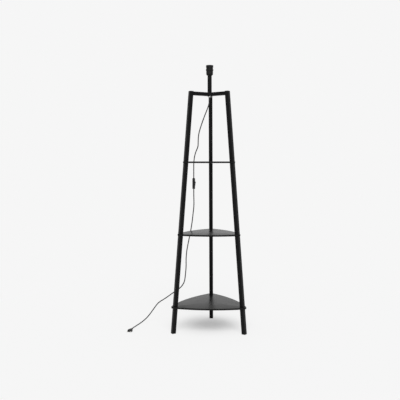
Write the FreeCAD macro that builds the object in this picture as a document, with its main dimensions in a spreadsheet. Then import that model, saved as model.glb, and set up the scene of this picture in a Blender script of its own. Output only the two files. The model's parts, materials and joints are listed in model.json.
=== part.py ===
"""Shelf floor lamp: three leaning square-tube legs, three shelves, a stem with a lampholder and its cord.

Millimetres. +Z is up and the floor is z = 0. The rear leg stands towards +Y, the two front legs towards
-Y, and the lamp is the same on both sides of the YZ plane. The origin is the middle of its footprint,
so the lamp's own axis, through hub, stem and lampholder, stands a little in front of it.
"""
import FreeCAD, Part
import math
import os
import re
import Sketcher

DRIVING_SIZES = (
    # legs
    ("leg_height", 1346.5, "floor to the top of the leg tubes"),
    ("foot_circle", 227.3, "radius of the circle of leg centres on the floor"),
    ("top_circle", 116.9, "radius of that circle at the top of the tubes"),
    ("leg_tube", 22, "side of the square leg tube"),
    ("tube_wall", 1.2, "wall of the square tubes"),
    ("glide_height", 2.5, "foot glide under the tube"),
    ("cap_height", 2.5, "end cap above the tube"),
    ("plug_depth", 12, "glides and caps inside the tube"),
    ("plug_play", 0.1, "room between a plug and the tube wall"),
    # shelves
    ("shelf_thickness", 9, "board of every shelf"),
    ("shelf_edge", 1.0, "rounding of the shelf edges"),
    ("bottom_shelf_height", 141, "underside of the bottom shelf"),
    ("middle_shelf_height", 543, "underside of the middle shelf"),
    ("upper_shelf_height", 947, "underside of the upper shelf"),
    ("bottom_corner", 22, "corner radius of the bottom shelf, about the leg centre"),
    ("middle_corner", 17, "corner radius of the middle shelf"),
    ("upper_corner", 16.5, "corner radius of the upper shelf"),
    ("bottom_bulge", 27.8, "how far a side of the bottom shelf bows out between its corners"),
    ("middle_bulge", 30.5, "bow of a side of the middle shelf"),
    ("upper_bulge", 26.5, "bow of a side of the upper shelf"),
    # the bolted joint of a leg through a shelf corner
    ("stud_diameter", 8, "stud through the shelf corner"),
    ("stud_reach", 12, "stud inside the tube above and below the shelf"),
    ("stud_play", 0.05, "room round the stud in its inserts"),
    ("shelf_hole_play", 0.7, "room round the leaning stud in the upright shelf hole"),
    ("insert_length", 15, "threaded insert in the end of a tube"),
    # hub and stem
    ("spoke_tube", 20, "side of the square spoke tube"),
    ("hub_reach", 12, "hub face that a spoke is welded to, from the axis"),
    ("stem_diameter", 24, "stem tube"),
    ("stem_wall", 1.5, "wall of the stem tube"),
    ("stem_length", 95.5, "stem tube from hub to lampholder"),
    ("nipple_diameter", 10, "threaded rod tube through hub and stem"),
    ("nipple_bore", 7.6, "way for the cord through the rod"),
    ("nipple_play", 0.1, "room round the rod"),
    ("nut_width", 14, "lock nuts across their flats"),
    ("nut_height", 4, "lock nuts"),
    ("nut_recess", 1, "lower lock nut inside its counterbore"),
    ("nut_room", 0.4, "room round the lock nut's corners in its counterbore"),
    ("washer_thickness", 1, "washer over the lower lock nut"),
    ("washer_margin", 1, "washer beyond the flats of the lock nut"),
    ("bush_nose", 7, "cord bush below the hub"),
    ("bush_flange", 10.4, "diameter of the bush's flange"),
    ("bush_taper", 1.2, "narrowing of the bush towards its mouth"),
    ("bush_grip", 8, "sleeve of the bush inside the rod"),
    ("cord_diameter", 6, "round two-core cord"),
    ("cord_play", 0.1, "room round the cord in its holes"),
    # lampholder, upwards from the stem
    ("holder_base_height", 20, "lower shell of the lampholder"),
    ("holder_diameter", 38.6, "outside of the lampholder shells"),
    ("holder_wall", 1.8, "wall of the lampholder shells"),
    ("holder_floor", 3, "floor of the lower shell"),
    ("holder_shoulder", 6, "chamfered shoulder at the bottom of the lower shell"),
    ("holder_sleeve_height", 38, "upper shell of the lampholder"),
    ("flange_diameter", 42, "flange of the upper shell, the seat of a shade"),
    ("flange_start", 8, "flange above the lower end of the upper shell"),
    ("flange_height", 8, "flange"),
    ("flange_bevel", 0.5, "bevel of the flange's edges"),
    ("ring_diameter", 41.2, "shade ring"),
    ("ring_height", 12, "shade ring"),
    ("ring_play", 0.1, "room between the shade ring and the upper shell"),
    ("insert_play", 0.2, "room between the socket insert and the upper shell"),
    ("insert_floor", 6, "floor of the socket insert"),
    ("insert_setback", 2, "socket insert below the top rim"),
    ("insert_lift", 2, "socket insert above the lower end of the upper shell"),
    ("socket_bore", 26.6, "inside of the screw shell"),
    ("shell_thickness", 0.5, "sheet of the screw shell"),
    ("shell_play", 0.05, "room between the screw shell and the insert"),
    ("shell_setback", 3, "screw shell above the socket floor and below the insert's top"),
    ("contact_width", 8, "spring contact strip, across"),
    ("contact_sheet", 0.6, "sheet of the spring contact"),
    ("contact_foot", 3, "flat foot of the spring contact"),
    ("contact_bend", 0.15, "upper corner of the contact's bend before the lower one"),
    ("contact_start", 9, "foot of the spring contact from the axis"),
    ("contact_end", 2, "tip of the spring contact beyond the axis"),
    ("contact_rise", 3, "tip of the spring contact above the socket floor"),
    ("terminal_diameter", 4, "terminal screws under the insert"),
    ("terminal_spacing", 16, "between the two terminal screws"),
    ("terminal_length", 6, "terminal screws"),
    # switch on the cord
    ("switch_x", -97, "middle of the switch from the lamp's axis, to the right"),
    ("switch_y", 88, "middle of the switch from the lamp's axis, to the rear"),
    ("switch_z", 828, "middle of the switch above the floor"),
    ("switch_length", 63, "switch along the cord"),
    ("switch_width", 22, "switch across its face"),
    ("switch_depth", 15, "switch from back to face"),
    ("switch_wall", 1.6, "wall of the two half shells"),
    ("switch_corner", 5, "rounded corners of the switch"),
    ("rocker_length", 22, "rocker along the switch"),
    ("rocker_width", 9, "rocker across the switch"),
    ("rocker_rise", 5.5, "ends of the rocker above its axle when level"),
    ("rocker_dip", 4.2, "middle of the rocker above its axle when level"),
    ("rocker_tilt", 8, "lean of the rocker to either side"),
    ("rocker_skirt", 0.5, "lower edge of the rocker's ends above its axle"),
    ("rocker_boss", 2.2, "boss of the rocker round its axle"),
    ("rocker_end_room", 1, "gap at the ends of the rocker in its window"),
    ("rocker_side_room", 0.5, "gap beside the rocker in its window"),
    ("cut_past", 1, "how far the window's cut runs past the wall"),
    ("axle_depth", 2, "rocker axle below the face of the switch"),
    ("axle_diameter", 2, "rocker axle"),
    ("axle_play", 0.05, "running play of the rocker on its axle"),
    ("cheek_thickness", 1.5, "cheeks that carry the rocker axle"),
    ("cheek_length", 8, "cheeks along the switch"),
    ("cheek_depth", 3, "cheeks below the front wall"),
    ("terminal_reach", 18, "outer ends of the brass terminals from the middle of the switch"),
    ("terminal_run", 8, "brass terminals along the switch"),
    ("terminal_width", 6, "brass terminals across the switch"),
    ("terminal_top", 1.5, "brass terminals in front of the middle plane"),
    ("screw_across", 6.5, "screws of the switch beside its middle"),
    ("screw_along", 23, "screws of the switch from its middle, one up and one down"),
    ("screw_diameter", 2.8, "shanks of the switch screws"),
    ("screw_head", 4.8, "heads of the switch screws"),
    ("head_height", 1.5, "heads of the switch screws"),
    ("screw_play", 0.1, "room round a screw"),
    ("post_diameter", 5.2, "screw posts of the two half shells"),
    ("screw_bite", 4, "screws inside the front shell"),
    # plug at the end of the cord
    ("plug_length", 34, "body of the plug, along"),
    ("plug_flare", 20.4, "from the cord to where the plug is at its full width"),
    ("plug_width", 26, "body of the plug at its pins"),
    ("plug_neck", 11, "body of the plug at the cord"),
    ("plug_thickness", 13.6, "flat body of the plug"),
    ("plug_round", 2.5, "rounded edges of the plug"),
    ("pin_length", 19, "plug pins outside the body"),
    ("pin_root", 10, "plug pins inside the body"),
    ("pin_play", 0.05, "room round a pin in the body"),
    ("pin_diameter", 4, "plug pins"),
    ("pin_spacing", 18.6, "between the plug pins"),
    ("relief_length", 20, "strain relief behind the plug"),
    ("relief_thick", 10, "strain relief at the plug"),
    ("relief_thin", 8, "strain relief at its cord end"),
)

DERIVED_SIZES = (
    ("leg_slope", "=(foot_circle - top_circle) / leg_height", "lean of a leg, sideways over height"),
    ("tube_radial", "=leg_tube * sqrt(1 + leg_slope ^ 2)", "level section of a leaning tube, outwards"),
    ("bore_radial", "=tube_radial - 2 * tube_wall * sqrt(1 + leg_slope ^ 2)", "level section of its bore"),
    ("tube_bore", "=leg_tube - 2 * tube_wall", "bore of a tube, sideways"),
    ("bottom_circle", "=foot_circle - leg_slope * (bottom_shelf_height + shelf_thickness / 2)",
     "leg centres at the bottom shelf"),
    ("middle_circle", "=foot_circle - leg_slope * (middle_shelf_height + shelf_thickness / 2)",
     "leg centres at the middle shelf"),
    ("upper_circle", "=foot_circle - leg_slope * (upper_shelf_height + shelf_thickness / 2)",
     "leg centres at the upper shelf"),
    ("rear_reach", "=max(foot_circle + tube_radial / 2; bottom_circle + bottom_corner)",
     "rear foot or shelf corner behind the lamp's axis"),
    ("front_reach", "=bottom_circle / 2 + bottom_corner + bottom_bulge", "bottom shelf before the axis"),
    ("lamp_axis_y", "=(front_reach - rear_reach) / 2", "the lamp's axis from the middle of the footprint"),
    ("hub_floor", "=leg_height - spoke_tube", "underside of the hub and spokes"),
    ("nipple_floor", "=hub_floor + nut_recess", "lower end of the threaded rod"),
    ("nut_pocket", "=nut_width / cos(30) + 2 * nut_room", "counterbore for the lock nut under the hub"),
    ("pocket_depth", "=nut_recess + nut_height + washer_thickness", "depth of that counterbore"),
    ("stem_top", "=leg_height + stem_length", "top of the stem, foot of the lampholder"),
    ("nipple_top", "=stem_top + holder_floor + nut_height + nut_recess", "upper end of the threaded rod"),
    ("cord_exit", "=hub_floor - bush_nose", "mouth of the cord bush"),
    ("sleeve_floor", "=stem_top + holder_base_height", "lower end of the upper shell"),
    ("holder_top", "=sleeve_floor + holder_sleeve_height", "top rim of the lampholder"),
    ("insert_diameter", "=holder_diameter - 2 * holder_wall - 2 * insert_play", "socket insert"),
    ("insert_start", "=sleeve_floor + insert_lift", "underside of the socket insert"),
    ("insert_top", "=holder_top - insert_setback", "top of the socket insert"),
    ("socket_floor", "=insert_start + insert_floor", "floor inside the socket"),
    ("insert_bore", "=socket_bore + 2 * (shell_thickness + shell_play)", "bore of the insert"),
    ("face_depth", "=switch_depth / 2", "face of the switch from its middle plane"),
    ("axle_out", "=face_depth - axle_depth", "rocker axle from the middle plane"),
    ("window_length", "=rocker_length + 2 * rocker_end_room", "window of the rocker"),
    ("window_width", "=rocker_width + 2 * rocker_side_room", "window of the rocker, across"),
    ("cord_hole", "=cord_diameter + 2 * cord_play", "hole for the cord in a shell"),
)

LEG_DIRECTIONS = (("rear", "90"), ("left", "210"), ("right", "330"))
SHELVES = ("bottom", "middle", "upper")

doc = FreeCAD.newDocument("shelf_floor_lamp")
sizes = doc.addObject("Spreadsheet::Sheet", "sizes")
for row, (alias, content, note) in enumerate(DRIVING_SIZES + DERIVED_SIZES, start=1):
    sizes.set(f"A{row}", note)
    sizes.set(f"B{row}", str(content))
    sizes.setAlias(f"B{row}", alias)
doc.recompute()

# Shorter than this is no length at all.
NO_LENGTH = 0.001

ALIAS = re.compile(r"\b[a-z]+(?:_[a-z]+)+\b")
UP = FreeCAD.Vector(0, 0, 1)
nodes = []


def spell(formula):
    """A formula with each size name pointed at the sheet."""
    return ALIAS.sub(r"<<sizes>>.\g<0>", formula)


def bind(item, place, formula):
    """Tie one property of an object to a formula over the named sizes."""
    item.setExpression(place, spell(formula))


def value(formula):
    """The number that a formula gives now."""
    found = sizes.evalExpression(spell(formula))
    return float(getattr(found, "Value", found))


def new_body(label, turn="0", out="0", up="0"):
    """An empty body turned to face away from the lamp's axis, `out` from it and `up` from the floor."""
    body = doc.addObject("PartDesign::Body", label)
    body.Label = label
    bind(body, "Placement.Base.x", f"({out}) * cos({turn})")
    bind(body, "Placement.Base.y", f"lamp_axis_y + ({out}) * sin({turn})")
    bind(body, "Placement.Base.z", up)
    bind(body, "Placement.Rotation.Angle", turn)
    return body


def sketch_on(body, plane, offset="0"):
    """A sketch on one of the body's own planes, moved along that plane's normal."""
    sketch = body.newObject("Sketcher::SketchObject", "Sketch")
    face = next(part for part in body.Origin.OriginFeatures if part.Role == plane)
    sketch.AttachmentSupport = [(face, "")]
    sketch.MapMode = "FlatFace"
    bind(sketch, "AttachmentOffset.Base.z", offset)
    return sketch


def tie(sketch, geometry, point, across, along):
    """Hold a point of a sketch at its two distances from the sketch's origin."""
    for kind, formula, axis in (("DistanceX", across, -2), ("DistanceY", along, -1)):
        distance = value(formula)
        if abs(distance) < NO_LENGTH:
            sketch.addConstraint(Sketcher.Constraint("PointOnObject", geometry, point, axis))
            continue
        ends = (-1, 1, geometry, point) if distance > 0 else (geometry, point, -1, 1)
        index = sketch.addConstraint(Sketcher.Constraint(kind, *ends, abs(distance)))
        bind(sketch, f"Constraints[{index}]", formula if distance > 0 else f"-({formula})")


def circle(sketch, diameter, across="0", along="0"):
    """A circle with its centre tied to the sketch's origin."""
    centre = FreeCAD.Vector(value(across), value(along), 0)
    index = sketch.addGeometry(Part.Circle(centre, UP, value(diameter) / 2))
    tie(sketch, index, 3, across, along)
    size = sketch.addConstraint(Sketcher.Constraint("Diameter", index, value(diameter)))
    bind(sketch, f"Constraints[{size}]", diameter)


def polygon(sketch, corners):
    """A closed outline of straight sides, each corner given by its two distances."""
    places = [FreeCAD.Vector(value(across), value(along), 0) for across, along in corners]
    first = sketch.GeometryCount
    for start, end in zip(places, places[1:] + places[:1]):
        sketch.addGeometry(Part.LineSegment(start, end))
    for number, (across, along) in enumerate(corners):
        before = first + (number - 1) % len(corners)
        sketch.addConstraint(Sketcher.Constraint("Coincident", before, 2, first + number, 1))
        tie(sketch, first + number, 1, across, along)


def rectangle(sketch, width, height, across="0", along="0"):
    """A rectangle about a centre."""
    polygon(sketch, [
        (f"{across} - ({width}) / 2", f"{along} - ({height}) / 2"),
        (f"{across} + ({width}) / 2", f"{along} - ({height}) / 2"),
        (f"{across} + ({width}) / 2", f"{along} + ({height}) / 2"),
        (f"{across} - ({width}) / 2", f"{along} + ({height}) / 2"),
    ])


def pad(body, sketch, length, both_ways=False, leaning=False):
    """Material from a sketch upwards, to both sides, or leaning in with the legs."""
    feature = body.newObject("PartDesign::Pad", "Pad")
    feature.Profile = sketch
    bind(feature, "Length", length)
    if both_ways:
        feature.SideType = "Symmetric"
    if leaning:
        feature.UseCustomVector = True
        feature.AlongSketchNormal = True
        feature.Direction = FreeCAD.Vector(-value("leg_slope"), 0, 1)
        bind(feature, "Direction.x", "-leg_slope")
    return feature


def pocket(body, sketch, length, both_ways=False, reversed_way=False):
    """Material taken away below a sketch, above it or to both sides."""
    feature = body.newObject("PartDesign::Pocket", "Pocket")
    feature.Profile = sketch
    bind(feature, "Length", length)
    feature.Reversed = reversed_way
    if both_ways:
        feature.SideType = "Symmetric"
    return feature


def turned(label, corners, up="0"):
    """A turned piece on the lamp's axis: corners are (radius, height above `up`)."""
    body = new_body(label, up=up)
    sketch = sketch_on(body, "XZ_Plane")
    polygon(sketch, corners)
    feature = body.newObject("PartDesign::Revolution", "Revolution")
    feature.Profile = sketch
    feature.ReferenceAxis = (sketch, ["V_Axis"])
    feature.Angle = 360
    return body


def tube_on_axis(label, outside, inside, bottom, height):
    """A plain tube on the lamp's axis."""
    return turned(label, [
        (f"({inside}) / 2", "0"),
        (f"({outside}) / 2", "0"),
        (f"({outside}) / 2", height),
        (f"({inside}) / 2", height),
    ], up=bottom)


def keep(item):
    """A finished sub-part, exported under its label."""
    nodes.append(item)
    return item


def keep_group(label, members):
    """Like pieces exported together as one sub-part of separate solids."""
    group = doc.addObject("Part::Compound", label)
    group.Label = label
    group.Links = members
    return keep(group)


# Legs: each is four square tubes between the shelves, cut level so that they sit flat on the boards.
LEG_SECTIONS = (
    ("foot", "glide_height", "bottom_shelf_height"),
    ("lower", "bottom_shelf_height + shelf_thickness", "middle_shelf_height"),
    ("middle", "middle_shelf_height + shelf_thickness", "upper_shelf_height"),
    ("upper", "upper_shelf_height + shelf_thickness", "leg_height"),
)


def leg_body(label, turn, bottom):
    """An empty body on the leg's centre line at a height."""
    return new_body(label, turn, f"foot_circle - leg_slope * ({bottom})", bottom)


for side, turn in LEG_DIRECTIONS:
    for section, bottom, top in LEG_SECTIONS:
        tube = leg_body(f"leg_{section}_{side}", turn, bottom)
        outline = sketch_on(tube, "XY_Plane")
        rectangle(outline, "tube_radial", "leg_tube")
        rectangle(outline, "bore_radial", "tube_bore")
        pad(tube, outline, f"({top}) - ({bottom})", leaning=True)
        keep(tube)

# Foot glides and end caps: a plate over the end of the tube and a plug inside it.
PLUG_SECTION = ("bore_radial - 2 * plug_play", "tube_bore - 2 * plug_play")
PLATE_SECTION = ("tube_radial", "leg_tube")
TUBE_ENDS = (
    ("foot_glide", "0", (PLATE_SECTION, "glide_height"), (PLUG_SECTION, "plug_depth")),
    ("end_cap", "leg_height - plug_depth", (PLUG_SECTION, "plug_depth"), (PLATE_SECTION, "cap_height")),
)

for name, bottom, lower, upper in TUBE_ENDS:
    for side, turn in LEG_DIRECTIONS:
        stopper = leg_body(f"{name}_{side}", turn, bottom)
        for section, start, height in ((lower[0], "0", lower[1]), (upper[0], lower[1], upper[1])):
            outline = sketch_on(stopper, "XY_Plane", start)
            rectangle(outline, *section, across=f"-leg_slope * ({start})")
            pad(stopper, outline, height, leaning=True)
        keep(stopper)

# Shelf joints: a stud leans through each shelf corner into threaded inserts in the tubes above and below.
for shelf in SHELVES:
    board_floor = f"{shelf}_shelf_height"
    board_top = f"{shelf}_shelf_height + shelf_thickness"
    inserts = []
    studs = []
    for side, turn in LEG_DIRECTIONS:
        for bottom in (f"{board_floor} - insert_length", board_top):
            insert = leg_body(f"insert_{shelf}_{side}_{len(inserts)}", turn, bottom)
            outline = sketch_on(insert, "XY_Plane")
            rectangle(outline, *PLUG_SECTION)
            circle(outline, "stud_diameter + 2 * stud_play")
            pad(insert, outline, "insert_length", leaning=True)
            inserts.append(insert)
        stud = leg_body(f"stud_{shelf}_{side}", turn, f"{board_floor} - stud_reach")
        outline = sketch_on(stud, "XY_Plane")
        circle(outline, "stud_diameter")
        pad(stud, outline, "shelf_thickness + 2 * stud_reach", leaning=True)
        studs.append(stud)
    keep_group(f"tube_inserts_{shelf}", inserts)
    keep_group(f"shelf_studs_{shelf}", studs)

# Shelves: three bowed sides, each an arc, meet in round corners about the leg centres, 120 degrees apart.
LEG_STEP = 120


def shelf_outline(sketch, leg_circle, corner, bulge):
    """The outline of a board: the side arcs are the curve through the leg centres, moved out by a corner."""
    half_span = f"{leg_circle} * sqrt(3) / 2"
    span_radius = f"(({bulge}) ^ 2 + ({half_span}) ^ 2) / (2 * {bulge})"
    side_radius = f"{span_radius} + {corner}"
    side_centre_distance = value(f"{span_radius} - {leg_circle} / 2 - {bulge}")
    turns = [int(turn) for _, turn in LEG_DIRECTIONS]
    corners = {}
    sides = {}
    for turn in turns:
        angle = math.radians(turn)
        corners[turn] = value(leg_circle) * FreeCAD.Vector(math.cos(angle), math.sin(angle), 0)
        opposite = math.radians(turn + LEG_STEP / 2 + 180)
        sides[turn] = side_centre_distance * FreeCAD.Vector(math.cos(opposite), math.sin(opposite), 0)

    def direction(start, end):
        """Angle of the line from start to end."""
        return math.atan2(end.y - start.y, end.x - start.x)

    arcs = []
    for turn in turns:
        before = (turn - LEG_STEP) % 360
        after = (turn + LEG_STEP) % 360
        round_end = Part.Circle(corners[turn], UP, value(corner))
        bow = Part.Circle(sides[turn], UP, value(side_radius))
        first = direction(sides[before], corners[turn])
        middle = direction(sides[turn], corners[turn])
        last = direction(sides[turn], corners[after])
        arcs.append(sketch.addGeometry(Part.ArcOfCircle(round_end, first, middle)))
        tie(sketch, arcs[-1], 3, f"{leg_circle} * cos({turn})", f"{leg_circle} * sin({turn})")
        size = sketch.addConstraint(Sketcher.Constraint("Radius", arcs[-1], value(corner)))
        bind(sketch, f"Constraints[{size}]", corner)
        arcs.append(sketch.addGeometry(Part.ArcOfCircle(bow, middle, last)))
        size = sketch.addConstraint(Sketcher.Constraint("Radius", arcs[-1], value(side_radius)))
        bind(sketch, f"Constraints[{size}]", side_radius)
    for arc, following in zip(arcs, arcs[1:] + arcs[:1]):
        sketch.addConstraint(Sketcher.Constraint("Tangent", arc, 2, following, 1))


for shelf in SHELVES:
    board = new_body(f"{shelf}_shelf", up=f"{shelf}_shelf_height")
    outline = sketch_on(board, "XY_Plane")
    shelf_outline(outline, f"{shelf}_circle", f"{shelf}_corner", f"{shelf}_bulge")
    for _, turn in LEG_DIRECTIONS:
        circle(outline, "stud_diameter + 2 * shelf_hole_play",
               f"{shelf}_circle * cos({turn})", f"{shelf}_circle * sin({turn})")
    slab = pad(board, outline, "shelf_thickness")
    doc.recompute()
    rim = [f"Edge{number}" for number, edge in enumerate(slab.Shape.Edges, start=1)
           if edge.BoundBox.ZLength < NO_LENGTH and edge.Curve.Radius > value("stud_diameter")]
    rounding = board.newObject("PartDesign::Fillet", "Fillet")
    rounding.Base = (slab, rim)
    bind(rounding, "Radius", "shelf_edge")
    keep(board)

# Spokes: square tubes from the hub to the inner faces of the legs, their outer ends cut to the lean.
for side, turn in LEG_DIRECTIONS:
    spoke = new_body(f"spoke_{side}", turn, up="hub_floor")
    outline = sketch_on(spoke, "XZ_Plane")
    polygon(outline, [
        ("hub_reach", "0"),
        ("foot_circle - leg_slope * hub_floor - tube_radial / 2", "0"),
        ("foot_circle - leg_slope * leg_height - tube_radial / 2", "spoke_tube"),
        ("hub_reach", "spoke_tube"),
    ])
    pad(spoke, outline, "spoke_tube", both_ways=True)
    bore = sketch_on(spoke, "YZ_Plane")
    rectangle(bore, "spoke_tube - 2 * tube_wall", "spoke_tube - 2 * tube_wall", along="spoke_tube / 2")
    pocket(spoke, bore, "2 * foot_circle", both_ways=True)
    keep(spoke)

# Hub: a block with a face for each spoke, a bore for the rod and a counterbore for its lock nut.
hub = new_body("hub_block", up="hub_floor")
outline = sketch_on(hub, "XY_Plane")
hub_corners = []
for _, turn in LEG_DIRECTIONS:
    for hand in ("-", "+"):
        opposite_hand = "+" if hand == "-" else "-"
        hub_corners.append((f"hub_reach * cos({turn}) {opposite_hand} spoke_tube / 2 * sin({turn})",
                            f"hub_reach * sin({turn}) {hand} spoke_tube / 2 * cos({turn})"))
polygon(outline, hub_corners)
circle(outline, "nipple_diameter + 2 * nipple_play")
pad(hub, outline, "spoke_tube")
counterbore = sketch_on(hub, "XY_Plane")
circle(counterbore, "nut_pocket")
pocket(hub, counterbore, "pocket_depth", reversed_way=True)
keep(hub)

# Stem, the threaded rod through it, the nuts and washer that clamp them, and the bush for the cord.
keep(tube_on_axis("stem_tube", "stem_diameter", "stem_diameter - 2 * stem_wall", "leg_height", "stem_length"))
keep(tube_on_axis("threaded_rod", "nipple_diameter", "nipple_bore", "nipple_floor",
                  "nipple_top - nipple_floor"))
keep(tube_on_axis("hub_washer", "nut_width + 2 * washer_margin", "nipple_diameter + 2 * nipple_play",
                  "nipple_floor + nut_height", "washer_thickness"))


def lock_nut(label, bottom):
    """A hexagon nut on the rod."""
    nut = new_body(label, up=bottom)
    outline = sketch_on(nut, "XY_Plane")
    radius = "nut_width / 2 / cos(30)"
    polygon(outline, [(f"{radius} * cos({turn})", f"{radius} * sin({turn})") for turn in range(0, 360, 60)])
    circle(outline, "nipple_diameter + 2 * nipple_play")
    pad(nut, outline, "nut_height")
    return keep(nut)


lock_nut("hub_lock_nut", "nipple_floor")
lock_nut("holder_lock_nut", "stem_top + holder_floor")
keep(turned("cord_bush", [
    ("cord_hole / 2", "0"),
    ("bush_flange / 2 - bush_taper", "0"),
    ("bush_flange / 2", "bush_nose - bush_taper"),
    ("bush_flange / 2", "bush_nose + nut_recess"),
    ("nipple_bore / 2 - nipple_play", "bush_nose + nut_recess"),
    ("nipple_bore / 2 - nipple_play", "bush_nose + nut_recess + bush_grip"),
    ("cord_hole / 2", "bush_nose + nut_recess + bush_grip"),
], up="cord_exit"))

# Lampholder: a lower shell clamped on the stem, an upper shell with the flange that a shade rests on,
# a ring that screws down on the shade, and the insert with its screw shell, contact and terminals.
keep(turned("holder_lower_shell", [
    ("nipple_diameter / 2 + nipple_play", "0"),
    ("holder_diameter / 2 - holder_shoulder", "0"),
    ("holder_diameter / 2", "holder_shoulder"),
    ("holder_diameter / 2", "holder_base_height"),
    ("holder_diameter / 2 - holder_wall", "holder_base_height"),
    ("holder_diameter / 2 - holder_wall", "holder_shoulder + holder_wall / 2"),
    ("holder_diameter / 2 - holder_shoulder", "holder_floor"),
    ("nipple_diameter / 2 + nipple_play", "holder_floor"),
], up="stem_top"))
keep(turned("holder_upper_shell", [
    ("holder_diameter / 2 - holder_wall", "0"),
    ("holder_diameter / 2", "0"),
    ("holder_diameter / 2", "flange_start"),
    ("flange_diameter / 2 - flange_bevel", "flange_start"),
    ("flange_diameter / 2", "flange_start + flange_bevel"),
    ("flange_diameter / 2", "flange_start + flange_height - flange_bevel"),
    ("flange_diameter / 2 - flange_bevel", "flange_start + flange_height"),
    ("holder_diameter / 2", "flange_start + flange_height"),
    ("holder_diameter / 2", "holder_sleeve_height"),
    ("holder_diameter / 2 - holder_wall", "holder_sleeve_height"),
], up="sleeve_floor"))
keep(tube_on_axis("shade_ring", "ring_diameter", "holder_diameter + 2 * ring_play",
                  "holder_top - ring_height", "ring_height"))
keep(turned("socket_insert", [
    ("0", "0"),
    ("insert_diameter / 2", "0"),
    ("insert_diameter / 2", "insert_top - insert_start"),
    ("insert_bore / 2", "insert_top - insert_start"),
    ("insert_bore / 2", "insert_floor"),
    ("0", "insert_floor"),
], up="insert_start"))
keep(tube_on_axis("screw_shell", "socket_bore + 2 * shell_thickness", "socket_bore",
                  "socket_floor + shell_setback", "insert_top - socket_floor - 2 * shell_setback"))

contact = new_body("centre_contact", up="socket_floor")
outline = sketch_on(contact, "XZ_Plane")
polygon(outline, [
    ("-contact_start", "0"),
    ("contact_foot - contact_start", "0"),
    ("contact_end", "contact_rise - contact_sheet"),
    ("contact_end", "contact_rise"),
    ("contact_foot - contact_start - contact_bend", "contact_sheet"),
    ("-contact_start", "contact_sheet"),
])
pad(contact, outline, "contact_width", both_ways=True)
keep(contact)

terminal_screws = []
for turn in ("0", "180"):
    screw = new_body(f"terminal_screw_{turn}", turn, "terminal_spacing / 2", "insert_start - terminal_length")
    outline = sketch_on(screw, "XY_Plane")
    circle(outline, "terminal_diameter")
    pad(screw, outline, "terminal_length")
    terminal_screws.append(screw)
keep_group("terminal_screws", terminal_screws)

# Switch on the cord. Its own X runs out of its face, Y across it and Z along the cord.
def switch_body(label):
    """An empty body in the middle of the switch."""
    body = new_body(label, up="switch_z")
    bind(body, "Placement.Base.x", "switch_x")
    bind(body, "Placement.Base.y", "lamp_axis_y + switch_y")
    return body


def half_shell(label, side):
    """One half of the switch housing: side is -1 for the back half and 1 for the front half."""
    shell = switch_body(label)
    outline = sketch_on(shell, "YZ_Plane", "-face_depth" if side < 0 else "0")
    rectangle(outline, "switch_width", "switch_length")
    block = pad(shell, outline, "face_depth")
    doc.recompute()
    uprights = [f"Edge{number}" for number, edge in enumerate(block.Shape.Edges, start=1)
                if edge.BoundBox.YLength < NO_LENGTH and edge.BoundBox.ZLength < NO_LENGTH]
    rounding = shell.newObject("PartDesign::Fillet", "Fillet")
    rounding.Base = (block, uprights)
    bind(rounding, "Radius", "switch_corner")
    hollow = sketch_on(shell, "YZ_Plane")
    rectangle(hollow, "switch_width - 2 * switch_wall", "switch_length - 2 * switch_wall")
    pocket(shell, hollow, "face_depth - switch_wall", reversed_way=side > 0)
    post_floor = "switch_wall - face_depth" if side < 0 else "0"
    posts = sketch_on(shell, "YZ_Plane", post_floor)
    for hand in ("", "-"):
        circle(posts, "post_diameter", f"{hand}screw_across", f"{hand}screw_along")
    pad(shell, posts, "face_depth - switch_wall")
    cord_way = sketch_on(shell, "XY_Plane")
    circle(cord_way, "cord_hole")
    pocket(shell, cord_way, "2 * switch_length", both_ways=True)
    return shell


back = half_shell("switch_back_shell", -1)
shank_holes = sketch_on(back, "YZ_Plane")
for hand in ("", "-"):
    circle(shank_holes, "screw_diameter + 2 * screw_play", f"{hand}screw_across", f"{hand}screw_along")
pocket(back, shank_holes, "2 * face_depth")
head_holes = sketch_on(back, "YZ_Plane", "head_height - face_depth")
for hand in ("", "-"):
    circle(head_holes, "screw_head + 2 * screw_play", f"{hand}screw_across", f"{hand}screw_along")
pocket(back, head_holes, "2 * head_height")
keep(back)

front = half_shell("switch_front_shell", 1)
window = sketch_on(front, "YZ_Plane", "face_depth")
rectangle(window, "window_width", "window_length")
pocket(front, window, "switch_wall + cut_past")
cheeks = sketch_on(front, "YZ_Plane", "face_depth - switch_wall - cheek_depth")
for hand in ("", "-"):
    rectangle(cheeks, "cheek_thickness", "cheek_length", across=f"{hand}(window_width + cheek_thickness) / 2")
pad(front, cheeks, "cheek_depth")
axle_way = sketch_on(front, "XZ_Plane")
circle(axle_way, "axle_diameter + 2 * axle_play", "axle_out")
pocket(front, axle_way, "window_width + 2 * cheek_thickness", both_ways=True)
screw_ways = sketch_on(front, "YZ_Plane")
for hand in ("", "-"):
    circle(screw_ways, "screw_diameter + 2 * screw_play", f"{hand}screw_across", f"{hand}screw_along")
pocket(front, screw_ways, "screw_bite + screw_play", reversed_way=True)
keep(front)

axle = switch_body("switch_axle")
outline = sketch_on(axle, "XZ_Plane")
circle(outline, "axle_diameter", "axle_out")
pad(axle, outline, "window_width + 2 * cheek_thickness", both_ways=True)
keep(axle)

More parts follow.
